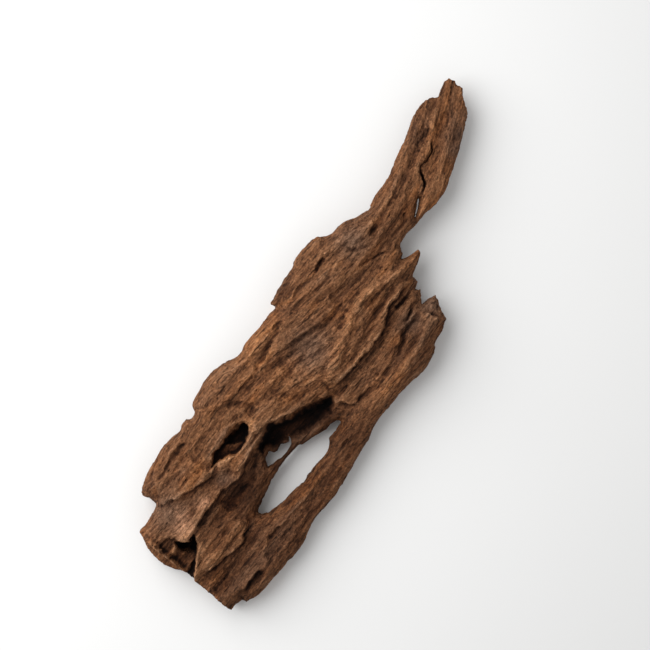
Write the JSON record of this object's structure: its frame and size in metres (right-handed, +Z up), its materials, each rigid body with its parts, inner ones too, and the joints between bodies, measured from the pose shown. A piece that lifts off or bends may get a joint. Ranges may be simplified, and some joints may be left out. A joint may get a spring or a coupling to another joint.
{
  "type": "driftwood",
  "caption": "Weathered driftwood with a sawn end, a long hole beside a side arm, ragged spikes at the fork, and a thin paddle-shaped upper branch, lying on its back.",
  "frame": {"origin": "middle of the underside of the wood's box, on the surface that it lies on", "axes": "+X along the wood's length from the sawn end to the tip, +Z up out of its weathered face"},
  "size_m": [0.9564, 0.3305, 0.0942],
  "materials": {
    "weathered_wood": "dry brown wood, split and worn along the grain, near black in the hollows"
  },
  "bodies": {
    "root": {"trunk": "weathered_wood", "upper_branch": "weathered_wood", "side_arm": "weathered_wood"}
  },
  "joints": []
}
